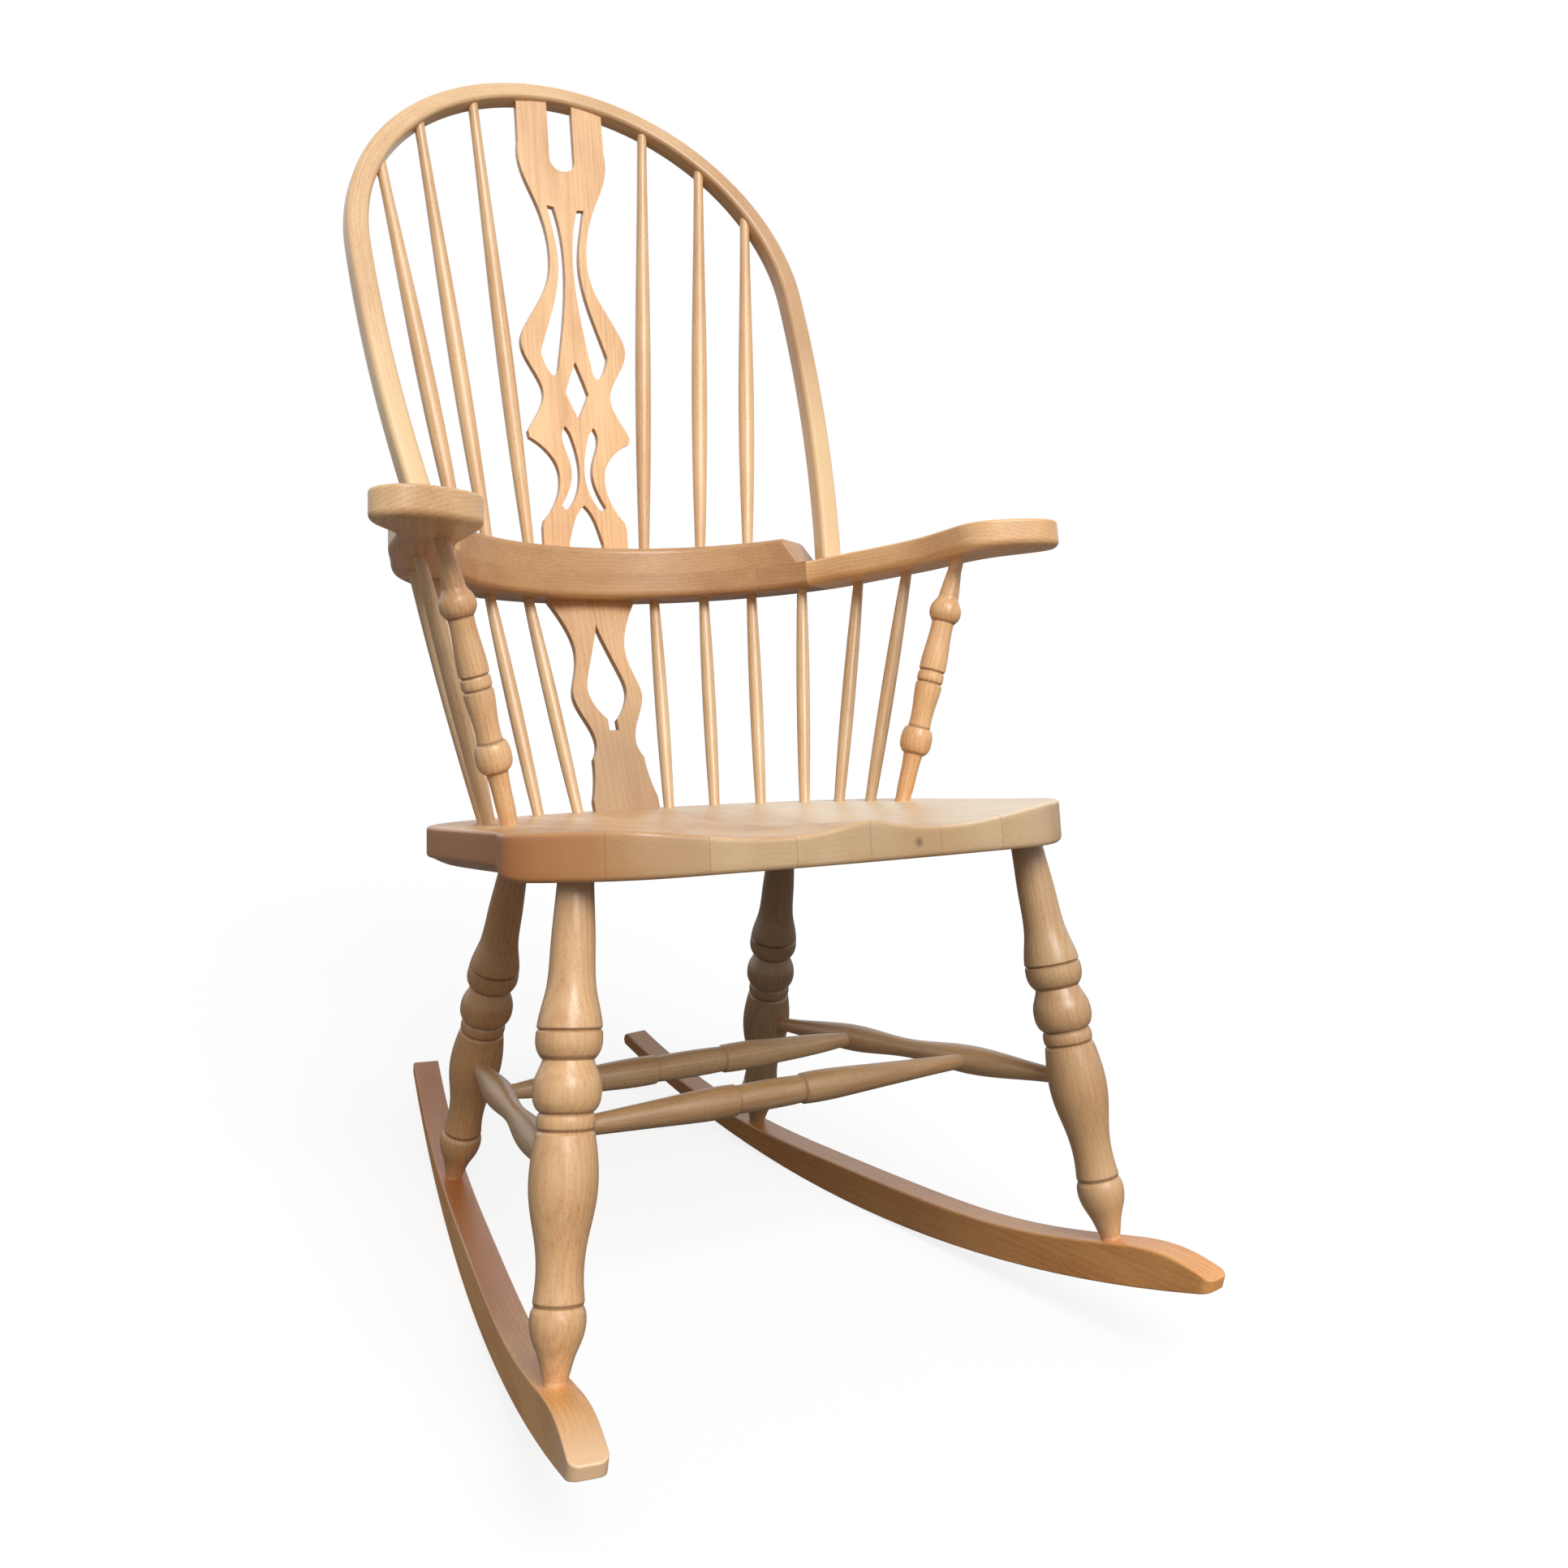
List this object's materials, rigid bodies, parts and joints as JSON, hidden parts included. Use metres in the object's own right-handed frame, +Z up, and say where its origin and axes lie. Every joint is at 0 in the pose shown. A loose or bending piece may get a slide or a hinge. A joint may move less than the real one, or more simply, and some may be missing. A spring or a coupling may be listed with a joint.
{
  "type": "rocking chair",
  "caption": "Wooden rocking chair with a bent hoop back, fretted splats, turned spindles, legs and stretchers, curved arms, a saddled seat and sawn rockers.",
  "frame": {"origin": "middle of the chair's width and length, on the floor under the rockers", "axes": "+X to the sitter's left, +Y to the sitter's back, +Z up; the chair faces -Y and stands at its resting tilt"},
  "size_m": [0.6982, 0.8786, 1.2169],
  "materials": {
    "seat_beech": "clear satin lacquer",
    "splat_beech": "clear satin lacquer",
    "underframe_beech": "clear satin lacquer",
    "upper_beech": "clear satin lacquer",
    "hoop_beech": "clear satin lacquer",
    "dowel_beech": "clear satin lacquer"
  },
  "bodies": {
    "root": {"arm_bow_back": "upper_beech", "arm_bow_corner_left": "upper_beech", "arm_bow_corner_right": "upper_beech", "arm_crest": "upper_beech", "arm_left": "upper_beech", "arm_post_left": "upper_beech", "arm_post_right": "upper_beech", "arm_right": "upper_beech", "bow_dowels": "dowel_beech", "cross_stretcher_front": "underframe_beech", "cross_stretcher_rear": "underframe_beech", "front_leg_left": "underframe_beech", "front_leg_right": "underframe_beech", "hoop": "hoop_beech", "lower_spindle_left_1": "upper_beech", "lower_spindle_left_2": "upper_beech", "lower_spindle_left_3": "upper_beech", "lower_spindle_left_4": "upper_beech", "lower_spindle_left_5": "upper_beech", "lower_spindle_left_6": "upper_beech", "lower_spindle_right_1": "upper_beech", "lower_spindle_right_2": "upper_beech", "lower_spindle_right_3": "upper_beech", "lower_spindle_right_4": "upper_beech", "lower_spindle_right_5": "upper_beech", "lower_spindle_right_6": "upper_beech", "rear_leg_left": "underframe_beech", "rear_leg_right": "underframe_beech", "rocker_left": "underframe_beech", "rocker_right": "underframe_beech", "seat": "seat_beech", "side_stretcher_left": "underframe_beech", "side_stretcher_right": "underframe_beech", "splat_lower": "splat_beech", "splat_upper": "splat_beech", "upper_spindle_left_1": "upper_beech", "upper_spindle_left_2": "upper_beech", "upper_spindle_left_3": "upper_beech", "upper_spindle_right_1": "upper_beech", "upper_spindle_right_2": "upper_beech", "upper_spindle_right_3": "upper_beech"}
  },
  "joints": []
}
